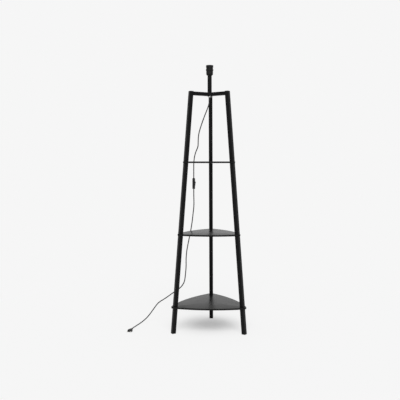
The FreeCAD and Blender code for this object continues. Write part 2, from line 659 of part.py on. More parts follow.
rocker = switch_body("switch_rocker")
bind(rocker, "Placement.Base.x", "switch_x + axle_out")
rocker.Placement.Rotation = FreeCAD.Rotation(FreeCAD.Vector(0, 1, 0), value("rocker_tilt"))
bind(rocker, "Placement.Rotation.Angle", "rocker_tilt")
outline = sketch_on(rocker, "XZ_Plane")
polygon(outline, [
    ("-rocker_boss", "-rocker_boss"),
    ("rocker_skirt", "-rocker_length / 2"),
    ("rocker_rise", "-rocker_length / 2"),
    ("rocker_dip", "0"),
    ("rocker_rise", "rocker_length / 2"),
    ("rocker_skirt", "rocker_length / 2"),
    ("-rocker_boss", "rocker_boss"),
])
circle(outline, "axle_diameter + 2 * axle_play")
pad(rocker, outline, "rocker_width", both_ways=True)
keep(rocker)

terminals = []
for hand in ("", "-"):
    terminal = switch_body(f"switch_terminal_{len(terminals)}")
    outline = sketch_on(terminal, "YZ_Plane", "switch_wall - face_depth")
    rectangle(outline, "terminal_width", "terminal_run", along=f"{hand}(terminal_reach - terminal_run / 2)")
    pad(terminal, outline, "face_depth - switch_wall + terminal_top")
    terminals.append(terminal)
keep_group("switch_terminals", terminals)

switch_screws = []
for hand in ("", "-"):
    screw = switch_body(f"switch_screw_{len(switch_screws)}")
    for diameter, start, length in (("screw_head", "-face_depth", "head_height"),
                                    ("screw_diameter", "-face_depth", "face_depth + screw_bite")):
        outline = sketch_on(screw, "YZ_Plane", start)
        circle(outline, diameter, f"{hand}screw_across", f"{hand}screw_along")
        pad(screw, outline, length)
    switch_screws.append(screw)
keep_group("switch_screws", switch_screws)

# The cord hangs free from the bush, past the rear left edges of the upper and middle shelves, and down
# to the floor, with the switch on its way. Its points are from the lamp's axis and from the floor.
CORD_UPPER_ROUTE = (
    (0, 0, value("cord_exit")), (0, 0, 1298), (-10, 6, 1262), (-29, 19, 1219), (-49, 36, 1168),
    (-63, 52, 1114), (-69, 67, 1059), (-83, 77, 1010), (-97, 87, 957),
    (value("switch_x"), value("switch_y"), 898),
    (value("switch_x"), value("switch_y"), value("switch_z + terminal_reach")),
)
CORD_LOWER_ROUTE = (
    (value("switch_x"), value("switch_y"), value("switch_z - terminal_reach")),
    (value("switch_x"), value("switch_y"), 753),
    (-95.5, 90, 700), (-102, 91.5, 646), (-108, 93, 594), (-117, 96, 543), (-128, 96.5, 490),
    (-139, 95, 435), (-143.5, 93.5, 385), (-142.5, 94, 338), (-147.5, 93.5, 285), (-153, 95, 245),
    (-176, 98, 211), (-220, 100, 182), (-269, 104, 145), (-310, 108, 120), (-334, 112, 87),
    (-357, 113, 54), (-380, 107, 26), (-403, 90, 9), (-418, 59, 3.1), (-430, 11, 3.1),
    (-435, -29, value("plug_thickness / 2")), (-440, -69, value("plug_thickness / 2")),
)
ARC_SHARE = 0.45


def from_axis(points):
    """Places in the lamp's frame of points counted from its axis."""
    return [FreeCAD.Vector(x, value("lamp_axis_y") + y, z) for x, y, z in points]


def rounded_path(points):
    """Straight runs joined by tangent arcs, each as large as its two runs allow."""
    edges = []
    radii = []
    start = points[0]
    for before, corner, after in zip(points, points[1:], points[2:]):
        back = (before - corner).normalize()
        onward = (after - corner).normalize()
        half_turn = (math.pi - back.getAngle(onward)) / 2
        reach = ARC_SHARE * min((before - corner).Length, (after - corner).Length)
        radius = reach / math.tan(half_turn)
        enter = corner + back * reach
        leave = corner + onward * reach
        middle_way = (back + onward).normalize()
        crown = corner + middle_way * (radius / math.cos(half_turn) - radius)
        edges.append(Part.LineSegment(start, enter).toShape())
        edges.append(Part.Arc(enter, crown, leave).toShape())
        radii.append(radius)
        start = leave
    edges.append(Part.LineSegment(start, points[-1]).toShape())
    return Part.Wire(edges), radii


def cord_tube(label, points):
    """A stretch of the cord as a plain tube along its rounded path."""
    path, radii = rounded_path(points)
    section = Part.Circle(points[0], points[1] - points[0], value("cord_diameter") / 2)
    profile = Part.Wire([section.toShape()])
    solid = path.makePipeShell([profile], True, False)
    expected = math.pi * (value("cord_diameter") / 2) ** 2 * path.Length
    print(f"{label}: {path.Length:.0f} mm, volume {solid.Volume / expected:.4f} of section times length,",
          "radii", [round(radius) for radius in radii])
    tube = doc.addObject("Part::Feature", label)
    tube.Label = label
    tube.Shape = solid
    return keep(tube)


def straight_cord(label, points):
    """The cord where its guides hold it straight."""
    path = Part.LineSegment(*points).toShape()
    section = Part.Circle(points[0], points[1] - points[0], value("cord_diameter") / 2)
    tube = doc.addObject("Part::Feature", label)
    tube.Label = label
    tube.Shape = Part.Wire([path]).makePipeShell([Part.Wire([section.toShape()])], True, False)
    return keep(tube)


cord_tube("cord_upper", from_axis(CORD_UPPER_ROUTE))
cord_tube("cord_lower", from_axis(CORD_LOWER_ROUTE))
straight_cord("cord_inside", from_axis([(0, 0, value("cord_exit")), (0, 0, value("insert_start"))]))

# Plug: it lies flat at the end of the cord. Its own X runs from the cord to the pins.
before_plug, plug_place = from_axis(CORD_LOWER_ROUTE[-2:])
PLUG_TURN = math.degrees(math.atan2(plug_place.y - before_plug.y, plug_place.x - before_plug.x))


def plug_body(label):
    """An empty body at the cord's end, turned the way the cord runs there."""
    body = doc.addObject("PartDesign::Body", label)
    body.Label = label
    body.Placement = FreeCAD.Placement(plug_place, FreeCAD.Rotation(UP, PLUG_TURN))
    return body


moulding = plug_body("plug_body")
outline = sketch_on(moulding, "XY_Plane")
polygon(outline, [
    ("0", "-plug_neck / 2"),
    ("plug_flare", "-plug_width / 2"),
    ("plug_length", "-plug_width / 2"),
    ("plug_length", "plug_width / 2"),
    ("plug_flare", "plug_width / 2"),
    ("0", "plug_neck / 2"),
])
block = pad(moulding, outline, "plug_thickness", both_ways=True)
doc.recompute()
sides = [f"Edge{number}" for number, edge in enumerate(block.Shape.Edges, start=1)
         if edge.BoundBox.ZLength < NO_LENGTH and edge.BoundBox.XLength > NO_LENGTH]
rounding = moulding.newObject("PartDesign::Fillet", "Fillet")
rounding.Base = (block, sides)
bind(rounding, "Radius", "plug_round")
pin_holes = sketch_on(moulding, "YZ_Plane", "plug_length")
for hand in ("", "-"):
    circle(pin_holes, "pin_diameter + 2 * pin_play", f"{hand}pin_spacing / 2")
pocket(moulding, pin_holes, "pin_root + pin_play")
keep(moulding)

pins = []
for hand in ("", "-"):
    pin = plug_body(f"plug_pin_{len(pins)}")
    outline = sketch_on(pin, "YZ_Plane", "plug_length - pin_root")
    circle(outline, "pin_diameter", f"{hand}pin_spacing / 2")
    pad(pin, outline, "pin_root + pin_length")
    pins.append(pin)
keep_group("plug_pins", pins)

relief = plug_body("plug_strain_relief")
outline = sketch_on(relief, "XZ_Plane")
polygon(outline, [
    ("-relief_length", "cord_hole / 2"),
    ("0", "cord_hole / 2"),
    ("0", "relief_thick / 2"),
    ("-relief_length", "relief_thin / 2"),
])
sleeve = relief.newObject("PartDesign::Revolution", "Revolution")
sleeve.Profile = outline
sleeve.ReferenceAxis = (outline, ["H_Axis"])
sleeve.Angle = 360
keep(relief)

# Every object has to be sound before anything is written.
doc.recompute()
faults = [item.Name for item in doc.Objects if "Invalid" in item.State or "Error" in item.State]
faults += [item.Label for item in nodes if item.Shape.isNull() or not item.Shape.isValid()]
if faults:
    raise RuntimeError(f"failed objects: {faults}")
os.makedirs("parts", exist_ok=True)
for item in nodes:
    item.Shape.exportStep(f"parts/{item.Label}.step")
print(f"{len(nodes)} nodes, {sum(len(item.Shape.Solids) for item in nodes)} solids")
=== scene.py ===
"""Shelf floor lamp: black square-tube legs, three bowed boards, a stem with a lampholder, and its cord."""
import json
import math

import bpy
import numpy as np
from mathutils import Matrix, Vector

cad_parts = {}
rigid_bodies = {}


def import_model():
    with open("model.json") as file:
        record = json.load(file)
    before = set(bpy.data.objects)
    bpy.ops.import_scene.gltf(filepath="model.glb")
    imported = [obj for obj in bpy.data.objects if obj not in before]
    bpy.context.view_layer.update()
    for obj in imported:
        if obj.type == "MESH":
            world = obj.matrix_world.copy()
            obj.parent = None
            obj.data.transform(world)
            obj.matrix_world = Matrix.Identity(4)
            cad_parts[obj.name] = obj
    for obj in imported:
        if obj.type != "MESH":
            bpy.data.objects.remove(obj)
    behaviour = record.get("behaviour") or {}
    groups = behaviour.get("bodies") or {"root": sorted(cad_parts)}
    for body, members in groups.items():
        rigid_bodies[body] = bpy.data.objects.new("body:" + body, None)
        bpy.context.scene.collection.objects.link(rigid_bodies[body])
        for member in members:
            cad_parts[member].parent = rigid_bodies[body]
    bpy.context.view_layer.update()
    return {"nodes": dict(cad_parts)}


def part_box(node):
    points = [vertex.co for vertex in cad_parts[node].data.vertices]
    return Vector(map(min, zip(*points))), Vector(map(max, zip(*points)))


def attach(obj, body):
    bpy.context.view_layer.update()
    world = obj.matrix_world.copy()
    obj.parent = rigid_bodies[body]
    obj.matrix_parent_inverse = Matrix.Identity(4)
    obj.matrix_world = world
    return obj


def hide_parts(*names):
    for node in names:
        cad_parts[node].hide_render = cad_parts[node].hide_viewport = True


for thing in list(bpy.data.objects):
    bpy.data.objects.remove(thing)
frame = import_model()
mm = 0.001

# The view. The camera stands 935 mm high, above the middle of the lamp, and looks 1.7 degrees down. A small
# shift moves the lamp to its place in the picture, up and to the right. The lamp stands 2.6 degrees askew,
# so the camera is that far round to its right. The lamp's axis is the stem's.
stem_low, stem_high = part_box("stem_tube")
lamp_axis = np.array([(stem_low.x + stem_high.x) / 2, (stem_low.y + stem_high.y) / 2, 0.0])
picture_side = 400
focal_pixels = 588.76
lamp_column = 209.63
middle_row = 182.6
look_down = 0.0295
lamp_turn = math.radians(2.59)
view_distance = 3.354
view_height = 0.935
camera_data = bpy.data.cameras.new("camera")
camera_data.sensor_width = 36
camera_data.lens = focal_pixels * camera_data.sensor_width / picture_side
camera_data.shift_x = (picture_side / 2 - lamp_column) / picture_side
camera_data.shift_y = (middle_row - picture_side / 2) / picture_side
camera = bpy.data.objects.new("camera", camera_data)
camera_stand = [view_distance * math.sin(lamp_turn), -view_distance * math.cos(lamp_turn), view_height]
camera.location = lamp_axis + camera_stand
camera.rotation_euler = (math.pi / 2 - look_down, 0, lamp_turn)
bpy.context.scene.collection.objects.link(camera)
bpy.context.scene.camera = camera
bpy.context.scene.view_settings.view_transform = "Standard"

# The stage: a wide pale floor. It shows the lamp's shadow between the feet, lets it fade outside them and
# passes into the pale background 1.6 m away. Camera and gloss see that background at its own colour, and
# a softer light from all round reaches the surfaces.
background_colour = (0.922, 0.922, 0.922, 1)
floor_colour = (0.92, 0.92, 0.92, 1)
floor_reach = 30.0
shadow_place = (0, 0.04, 0)
shadow_edge = (0.03, 0.29)
shadow_fade = (0.32, 0.88)
floor_edge = (0.75, 1.6)
world_light = 0.52


def new_node(tree, kind, **settings):
    """A new node in a tree with its sockets and options set by name."""
    node = tree.nodes.new(kind)
    for name, content in settings.items():
        if hasattr(node, name):
            setattr(node, name, content)
        else:
            node.inputs[name].default_value = content
    return node


def seen_directly(tree):
    """1 for camera, glossy and transmission rays and 0 for the rays that carry light to a surface."""
    path = tree.nodes.new("ShaderNodeLightPath")
    first = new_node(tree, "ShaderNodeMath", operation="ADD", use_clamp=True)
    second = new_node(tree, "ShaderNodeMath", operation="ADD", use_clamp=True)
    tree.links.new(path.outputs["Is Camera Ray"], first.inputs[0])
    tree.links.new(path.outputs["Is Glossy Ray"], first.inputs[1])
    tree.links.new(first.outputs[0], second.inputs[0])
    tree.links.new(path.outputs["Is Transmission Ray"], second.inputs[1])
    return second.outputs[0]


world = bpy.data.worlds.new("studio")
world.use_nodes = True
bpy.context.scene.world = world
sky = world.node_tree
sky.nodes.clear()
seen_sky = new_node(sky, "ShaderNodeBackground", Color=background_colour, Strength=1.0)
lit_sky = new_node(sky, "ShaderNodeBackground", Color=(1, 1, 1, 1), Strength=world_light)
sky_mix = sky.nodes.new("ShaderNodeMixShader")
sky_out = sky.nodes.new("ShaderNodeOutputWorld")
sky.links.new(seen_directly(sky), sky_mix.inputs[0])
sky.links.new(lit_sky.outputs[0], sky_mix.inputs[1])
sky.links.new(seen_sky.outputs[0], sky_mix.inputs[2])
sky.links.new(sky_mix.outputs[0], sky_out.inputs[0])

floor_finish = bpy.data.materials.new("pale_floor")
floor_finish.use_nodes = True
tree = floor_finish.node_tree
tree.nodes.clear()
place = tree.nodes.new("ShaderNodeTexCoord")
distance = new_node(tree, "ShaderNodeVectorMath", operation="DISTANCE")
distance.inputs[1].default_value = shadow_place
fade = new_node(tree, "ShaderNodeMath", operation="MAXIMUM")
share = new_node(tree, "ShaderNodeMath", operation="MULTIPLY")
matt = new_node(tree, "ShaderNodeBsdfDiffuse", Color=floor_colour)
glow = new_node(tree, "ShaderNodeEmission", Color=background_colour, Strength=1.0)
floor_mix = tree.nodes.new("ShaderNodeMixShader")
floor_out = tree.nodes.new("ShaderNodeOutputMaterial")
tree.links.new(place.outputs["Object"], distance.inputs[0])
for socket, edge, amount in ((0, shadow_edge, shadow_fade), (1, floor_edge, (0, 1))):
    ramp = new_node(tree, "ShaderNodeMapRange", interpolation_type="SMOOTHSTEP")
    ramp.inputs["From Min"].default_value = edge[0]
    ramp.inputs["From Max"].default_value = edge[1]
    ramp.inputs["To Min"].default_value = amount[0]
    ramp.inputs["To Max"].default_value = amount[1]
    tree.links.new(distance.outputs["Value"], ramp.inputs["Value"])
    tree.links.new(ramp.outputs["Result"], fade.inputs[socket])
tree.links.new(fade.outputs[0], share.inputs[0])
tree.links.new(seen_directly(tree), share.inputs[1])
tree.links.new(share.outputs[0], floor_mix.inputs[0])
tree.links.new(matt.outputs[0], floor_mix.inputs[1])
tree.links.new(glow.outputs[0], floor_mix.inputs[2])
tree.links.new(floor_mix.outputs[0], floor_out.inputs[0])
floor_mesh = bpy.data.meshes.new("floor")
floor_corners = [(-floor_reach, -floor_reach, 0), (floor_reach, -floor_reach, 0),
                 (floor_reach, floor_reach, 0), (-floor_reach, floor_reach, 0)]
floor_mesh.from_pydata(floor_corners, [], [(0, 1, 2, 3)])
floor_mesh.materials.append(floor_finish)
floor = bpy.data.objects.new("floor", floor_mesh)
bpy.context.scene.collection.objects.link(floor)

# The light: one wide soft lamp in front and above, a little to the right, which throws the boards' shadow
# back between the feet. Together with the pale surroundings it lights a level face at plain strength.
key_height = math.radians(42)
key_turn = math.radians(8)
key_spread = math.radians(40)
key_light = bpy.data.lights.new("key", "SUN")
key_light.angle = key_spread
key_light.energy = (1 - world_light) * math.pi / math.sin(key_height)
key_lamp = bpy.data.objects.new("key", key_light)
key_lamp.rotation_euler = (math.pi / 2 - key_height, 0, key_turn)
bpy.context.scene.collection.objects.link(key_lamp)

# The cord: a round black two-core lead in a flexible sheath, 6 mm thick. It comes straight down out of the
# bush, hangs past the rear left edges of the upper and middle boards with the switch on its way, and runs
# to the plug. Its points are measured from the lamp's axis and from the floor, in metres.
cord_thickness = 6 * mm
cord_route = (
    (0, 0, 1.3195), (0, 0, 1.298), (-0.010, 0.006, 1.262), (-0.029, 0.019, 1.219), (-0.049, 0.036, 1.168),
    (-0.067, 0.052, 1.114), (-0.070, 0.066, 1.062), (-0.070, 0.068, 1.043), (-0.0885, 0.078, 1.003),
    (-0.097, 0.087, 0.957), (-0.097, 0.088, 0.898), (-0.097, 0.088, 0.846), (-0.097, 0.088, 0.810),
    (-0.097, 0.088, 0.753), (-0.0955, 0.090, 0.700), (-0.102, 0.0915, 0.646), (-0.108, 0.093, 0.594),
    (-0.117, 0.096, 0.543), (-0.128, 0.0965, 0.490), (-0.139, 0.095, 0.435), (-0.1435, 0.0935, 0.385),
    (-0.1425, 0.094, 0.338), (-0.1475, 0.0935, 0.285), (-0.153, 0.095, 0.245), (-0.176, 0.098, 0.211),
    (-0.220, 0.100, 0.182), (-0.269, 0.104, 0.145), (-0.310, 0.108, 0.120), (-0.334, 0.112, 0.087),
    (-0.357, 0.113, 0.054), (-0.380, 0.107, 0.026), (-0.403, 0.090, 0.009), (-0.418, 0.059, 0.0031),
    (-0.430, 0.011, 0.0031), (-0.435, -0.029, 0.0068), (-0.440, -0.069, 0.0068),
)
broad_share = 0.02
colour_band = (0.3, 0.7)
gloss_band = (0.35, 0.65)
grain_height = 0.2


def grain_group():
    """Shader group of two noises: Fine is the grain, and Broad, fifty times as wide, is drift and wear."""
    group = bpy.data.node_groups.new("grain", "ShaderNodeTree")
    for name, kind in (("Vector", "NodeSocketVector"), ("Scale", "NodeSocketFloat")):
        group.interface.new_socket(name, in_out="INPUT", socket_type=kind)
    for name in ("Fine", "Broad"):
        group.interface.new_socket(name, in_out="OUTPUT", socket_type="NodeSocketFloat")
    entry = group.nodes.new("NodeGroupInput")
    leave = group.nodes.new("NodeGroupOutput")
    fine = new_node(group, "ShaderNodeTexNoise", Detail=3.0, Roughness=0.6)
    broad_scale = new_node(group, "ShaderNodeMath", operation="MULTIPLY")
    broad_scale.inputs[1].default_value = broad_share
    broad = new_node(group, "ShaderNodeTexNoise", Detail=4.0, Roughness=0.55, Distortion=0.4)
    group.links.new(entry.outputs["Vector"], fine.inputs["Vector"])
    group.links.new(entry.outputs["Scale"], fine.inputs["Scale"])
    group.links.new(entry.outputs["Vector"], broad.inputs["Vector"])
    group.links.new(entry.outputs["Scale"], broad_scale.inputs[0])
    group.links.new(broad_scale.outputs[0], broad.inputs["Scale"])
    group.links.new(fine.outputs["Fac"], leave.inputs["Fine"])
    group.links.new(broad.outputs["Fac"], leave.inputs["Broad"])
    return group


grain_noises = grain_group()


def finish(name, dark, light, smooth, rough, scale, bump, specular=0.5, metallic=0.0):
    """A surface with a raised fine grain, whose colour and roughness drift between two values.

    The colour goes from dark to light as the broad noise passes through the colour band, and the roughness
    from smooth to rough as it passes through the gloss band. The relief is the fine noise, a fifth of its
    own width high, at the strength of the bump.
    """
    material = bpy.data.materials.new(name)
    material.use_nodes = True
    tree = material.node_tree
    shader = tree.nodes["Principled BSDF"]
    shader.inputs["Specular IOR Level"].default_value = specular
    shader.inputs["Metallic"].default_value = metallic
    place = tree.nodes.new("ShaderNodeTexCoord")
    grain = new_node(tree, "ShaderNodeGroup", node_tree=grain_noises)
    grain.inputs["Scale"].default_value = scale
    colour = new_node(tree, "ShaderNodeMix", data_type="RGBA")
    colour.inputs["A"].default_value = (*dark, 1)
    colour.inputs["B"].default_value = (*light, 1)
    blend = new_node(tree, "ShaderNodeMapRange")
    blend.inputs["From Min"].default_value = colour_band[0]
    blend.inputs["From Max"].default_value = colour_band[1]
    level = new_node(tree, "ShaderNodeMapRange")
    level.inputs["From Min"].default_value = gloss_band[0]
    level.inputs["From Max"].default_value = gloss_band[1]
    level.inputs["To Min"].default_value = smooth
    level.inputs["To Max"].default_value = rough
    relief = new_node(tree, "ShaderNodeBump", Strength=bump, Distance=grain_height / scale)
    tree.links.new(place.outputs["Object"], grain.inputs["Vector"])
    tree.links.new(grain.outputs["Broad"], blend.inputs["Value"])
    tree.links.new(blend.outputs["Result"], colour.inputs["Factor"])
    tree.links.new(colour.outputs["Result"], shader.inputs["Base Color"])
    tree.links.new(grain.outputs["Broad"], level.inputs["Value"])
    tree.links.new(level.outputs["Result"], shader.inputs["Roughness"])
    tree.links.new(grain.outputs["Fine"], relief.inputs["Height"])
    tree.links.new(relief.outputs["Normal"], shader.inputs["Normal"])
    return material


def coat(material, *nodes):
    """Puts a material on CAD nodes that are shown as they are."""
    for node in nodes:
        frame["nodes"][node].material_slots[0].material = material


cord_sheath = finish(
    "cord_sheath", dark=(0.009, 0.009, 0.0095), light=(0.015, 0.015, 0.0155),
    smooth=0.42, rough=0.55, scale=1400, bump=0.1, specular=0.3,
)
cord_curve = bpy.data.curves.new("cord", "CURVE")
cord_curve.dimensions = "3D"
cord_curve.bevel_depth = cord_thickness / 2
cord_curve.bevel_resolution = 4
cord_curve.resolution_u = 14
cord_curve.use_fill_caps = True
cord_line = cord_curve.splines.new("NURBS")
cord_line.points.add(len(cord_route) - 1)
cord_places = np.array(cord_route) + lamp_axis
cord_line.points.foreach_set("co", np.c_[cord_places, np.ones(len(cord_places))].ravel())
cord_line.order_u = 3
cord_line.use_endpoint_u = True
cord_curve.materials.append(cord_sheath)
cord = bpy.data.objects.new("cord", cord_curve)
bpy.context.scene.collection.objects.link(cord)
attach(cord, "lamp")
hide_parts("cord_upper", "cord_lower")
coat(cord_sheath, "cord_inside")

# The strain relief behind the plug: a tapered sleeve of soft black plastic, ringed with grooves so that
# it bends evenly, moulded onto the plug. It follows the last run of the cord.
plug_place = cord_places[-1]
plug_ahead = cord_places[-1] - cord_places[-2]
plug_ahead = plug_ahead / np.linalg.norm(plug_ahead)
plug_aside = np.array([-plug_ahead[1], plug_ahead[0], 0.0])
plug_up = np.array([0.0, 0.0, 1.0])
relief_length = 20 * mm
relief_thick = 10 * mm
relief_thin = 8 * mm
relief_play = 0.1 * mm
relief_grooves = 6
groove_depth = 0.55 * mm


def surface(*grids, loop=False):
    """Vertices and faces of grids of points, shape (rows, columns, 3), each row a closed ring.

    A quad joins two neighbours on a ring to the same two on the next row. A loop joins the last row to
    the first. Otherwise a fan from the ring's mean point closes the first and the last row.
    """
    points = []
    faces = []
    start = 0
    for grid in grids:
        rows, columns = grid.shape[:2]
        index = start + np.arange(rows * columns).reshape(rows, columns)
        here = index if loop else index[:-1]
        above = np.roll(index, -1, axis=0) if loop else index[1:]
        quads = np.stack([here, np.roll(here, -1, 1), np.roll(above, -1, 1), above], axis=-1)
        faces += quads.reshape(-1, 4).tolist()
        points.append(grid.reshape(-1, 3))
        start += rows * columns
        if not loop:
            for ring, turn in ((index[0], -1), (index[-1], 1)):
                pole = np.full(columns, start)
                fan = np.stack([ring, np.roll(ring, -1), pole], axis=-1)
                faces += fan[:, ::turn].tolist()
                points.append(grid.reshape(-1, 3)[ring - index[0, 0]].mean(axis=0, keepdims=True))
                start += 1
    return np.concatenate(points), faces


def piece(name, shape, material, slot, *nodes, body="lamp", crease=35):
    """An object from vertices and faces, smooth up to a crease angle, in place of the CAD nodes named."""
    points, faces = shape
    mesh = bpy.data.meshes.new(name)
    mesh.from_pydata(points, [], faces)
    mesh.polygons.foreach_set("use_smooth", np.ones(len(mesh.polygons), dtype=bool))
    mesh.set_sharp_from_angle(angle=math.radians(crease))
    mesh.materials.append(material)
    made = bpy.data.objects.new(name, mesh)
    bpy.context.scene.collection.objects.link(made)
    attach(made, body)
    if nodes:
        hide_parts(*nodes)
    return made


def around(radius, angle, height):
    """Grid of the points at a radius r, an angle t and a height h: (r cos t, r sin t, h)."""
    return np.stack([radius * np.cos(angle), radius * np.sin(angle), height + 0 * angle], axis=-1)


def turned(profile, sides):
    """Grid of a turned shape: each profile point, a radius and a height, goes once round the axis."""
    angle = np.linspace(0, 2 * np.pi, sides, endpoint=False)
    radius, height = np.array(profile, float).T[:, :, None]
    return around(radius, angle, height)


def along_plug(grid):
    """A grid made about Z, laid along the plug: its Z runs towards the pins."""
    return plug_place + grid[..., :1] * plug_aside + grid[..., 1:2] * plug_up + grid[..., 2:] * plug_ahead


def softened(corners, cut, steps=4):
    """A closed outline with each corner P of its polygon rounded.

    The rounding is the curve (1-t)^2 A + 2t(1-t) P + t^2 B, where A and B lie `cut` from P on the two
    sides, or nearly half a side away where a side is short.
    """
    nearly_half = 0.48
    corner = np.array(corners, float)
    cut = np.broadcast_to(np.asarray(cut, float), len(corner))[:, None]
    back = np.roll(corner, 1, axis=0) - corner
    onward = np.roll(corner, -1, axis=0) - corner
    back_length = np.linalg.norm(back, axis=1, keepdims=True)
    onward_length = np.linalg.norm(onward, axis=1, keepdims=True)
    enter = corner + back * np.minimum(cut / back_length, nearly_half)
    leave = corner + onward * np.minimum(cut / onward_length, nearly_half)
    t = np.linspace(0, 1, steps + 1)[:, None, None]
    curve = (1 - t) ** 2 * enter + 2 * t * (1 - t) * corner + t ** 2 * leave
    return curve.transpose(1, 0, 2).reshape(-1, corner.shape[1])


plug_plastic = finish(
    "plug_plastic", dark=(0.010, 0.010, 0.010), light=(0.015, 0.015, 0.0155),
    smooth=0.45, rough=0.60, scale=1600, bump=0.15, specular=0.3,
)
relief_along = np.linspace(0, 1, 61)
relief_wave = 0.5 - 0.5 * np.cos(2 * np.pi * relief_grooves * relief_along)
relief_taper = relief_thin / 2 + (relief_thick - relief_thin) / 2 * relief_along
relief_outside = relief_taper - groove_depth * relief_wave ** 2
relief_bore = cord_thickness / 2 + relief_play
relief_profile = np.c_[relief_outside, (relief_along - 1) * relief_length]
relief_inside = [(relief_bore, 0.0), (relief_bore, -relief_length)]
relief_grid = along_plug(turned(np.r_[relief_profile, relief_inside], sides=40))
strain_relief = piece(
    "plug_relief", surface(relief_grid, loop=True), plug_plastic, "plug_plastic", "plug_strain_relief",
)

# The plug: a flat two-pin plug of black plastic, moulded in one piece round its pins and lying flat. It
# widens from the cord to the pins and has grip ridges on its flat sides. The pins are nickel plated, with
# a sleeve of plastic round the half next to the plug.
plug_length = 34 * mm
plug_width = 26 * mm
plug_neck = 11 * mm
plug_thickness = 13.6 * mm
plug_swell = 0.6
plug_flatness = 0.42
end_share = 0.06
end_rounding = 0.22
ridge_start = 0.42
ridge_reach = 0.36
ridge_height = 0.35 * mm
ridge_count = 5

# A section's point at the angle t has half the width times |cos t| to a power, and half the thickness
# times |sin t| to the same power, each with its sign. Towards both ends of the plug a section shrinks.
plug_share = np.r_[0, 0.012, 0.04, np.linspace(0.08, 0.92, 64), 0.96, 0.988, 1][:, None]
plug_angle = np.linspace(0, 2 * np.pi, 80, endpoint=False)
plug_to_end = np.minimum(plug_share, 1 - plug_share)
plug_shrink = 1 - end_rounding * np.clip(1 - plug_to_end / end_share, 0, 1) ** 2
plug_opening = np.clip(plug_share / plug_swell, 0, 1)
plug_ease = 3 * plug_opening ** 2 - 2 * plug_opening ** 3
plug_half_width = plug_neck / 2 + (plug_width - plug_neck) / 2 * plug_ease
ridge_place = np.clip((plug_share - ridge_start) / ridge_reach, 0, 1)
plug_ridges = ridge_height * np.sin(np.pi * ridge_place * ridge_count) ** 2
plug_half_height = plug_thickness / 2 - ridge_height + plug_ridges
plug_cos = np.cos(plug_angle)
plug_sin = np.sin(plug_angle)
plug_across = plug_half_width * np.sign(plug_cos) * np.abs(plug_cos) ** plug_flatness
plug_upward = plug_half_height * np.sign(plug_sin) * np.abs(plug_sin) ** plug_flatness
plug_onward = plug_share * plug_length + 0 * plug_angle
plug_grid = np.stack([plug_across * plug_shrink, plug_upward * plug_shrink, plug_onward], axis=-1)
plug_body = piece(
    "plug_moulding", surface(along_plug(plug_grid)), plug_plastic, "plug_plastic", "plug_body",
)

pin_length = 19 * mm
pin_spacing = 18.6 * mm
pin_half = 2 * mm
pin_root = 10 * mm
pin_bore = 0.35 * mm
pin_point = 1 * mm
pin_round = 0.4 * mm
sleeve_start = 0.1 * mm
sleeve_end = 10 * mm
sleeve_taper = 0.3 * mm
sleeve_sunk = 0.3 * mm
sleeve_proud = 0.12 * mm
pin_nickel = finish(
    "pin_nickel", dark=(0.56, 0.55, 0.52), light=(0.66, 0.65, 0.62),
    smooth=0.18, rough=0.32, scale=900, bump=0.1, metallic=1.0,
)
pin_profile = softened([
    (pin_bore, -pin_root), (pin_half, -pin_root), (pin_half, pin_length - pin_point),
    (pin_half / 2, pin_length), (pin_bore, pin_length),
], pin_round)
sleeve_inside = pin_half - sleeve_sunk
sleeve_outside = pin_half + sleeve_proud
sleeve_profile = [
    (sleeve_inside, sleeve_start), (sleeve_outside, sleeve_start),
    (sleeve_outside, sleeve_end), (sleeve_inside, sleeve_end + sleeve_taper),
]
pin_grids = []
sleeve_grids = []
for hand in (-1, 1):
    shift = np.array([hand * pin_spacing / 2, 0, plug_length])
    pin_grids.append(along_plug(turned(pin_profile, sides=32) + shift))
    sleeve_grids.append(along_plug(turned(sleeve_profile, sides=32) + shift))
plug_pins = piece("pin_pair", surface(*pin_grids, loop=True), pin_nickel, "pin_nickel", "plug_pins")
pin_sleeves = piece("pin_sleeves", surface(*sleeve_grids, loop=True), plug_plastic, "plug_plastic")

# The switch on the cord: two half shells of black plastic, screwed together from the back, with a rocker
# in a window of the front shell. Its face looks to the right and its length runs along the cord.
switch_low, switch_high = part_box("switch_back_shell")
switch_half_length = (switch_high.z - switch_low.z) / 2
switch_half_width = (switch_high.y - switch_low.y) / 2
switch_half_depth = switch_high.x - switch_low.x
switch_middle = np.array([
    switch_high.x, (switch_low.y + switch_high.y) / 2, (switch_low.z + switch_high.z) / 2,
])
switch_wall = 1.6 * mm
switch_corner = 6 * mm
corner_loss = 0.8
shell_round = 2.2 * mm
face_border = 0.4 * mm
back_border = 4.8 * mm
floor_border = 4 * mm
seam_bevel = 0.35 * mm
seam_play = 0.02 * mm
window_half_length = 12 * mm
window_half_width = 5 * mm


def rectangle(half_across, half_along, corner, steps):
    """The outline of a rectangle about its middle, with each corner rounded."""
    corners = [
        (half_across, -half_along), (half_across, half_along),
        (-half_across, half_along), (-half_across, -half_along),
    ]
    return softened(corners, corner, steps)


def oblong(half_width, half_length, corner, depth):
    """A ring in the switch's own plane: a rectangle with round corners at a depth along X."""
    outline = rectangle(half_width, half_length, corner, steps=8)
    return np.c_[np.full(len(outline), depth), outline]


def switch_rings(steps):
    """Rings of a shell from (inset, depth) steps: the switch's outline, moved in by each inset."""
    rings = []
    for inset, depth in steps:
        half_width = switch_half_width - inset
        half_length = switch_half_length - inset
        rings.append(oblong(half_width, half_length, switch_corner - corner_loss * inset, depth))
    return rings


switch_plastic = finish(
    "switch_plastic", dark=(0.008, 0.008, 0.008), light=(0.012, 0.012, 0.0125),
    smooth=0.32, rough=0.44, scale=1500, bump=0.1, specular=0.35,
)
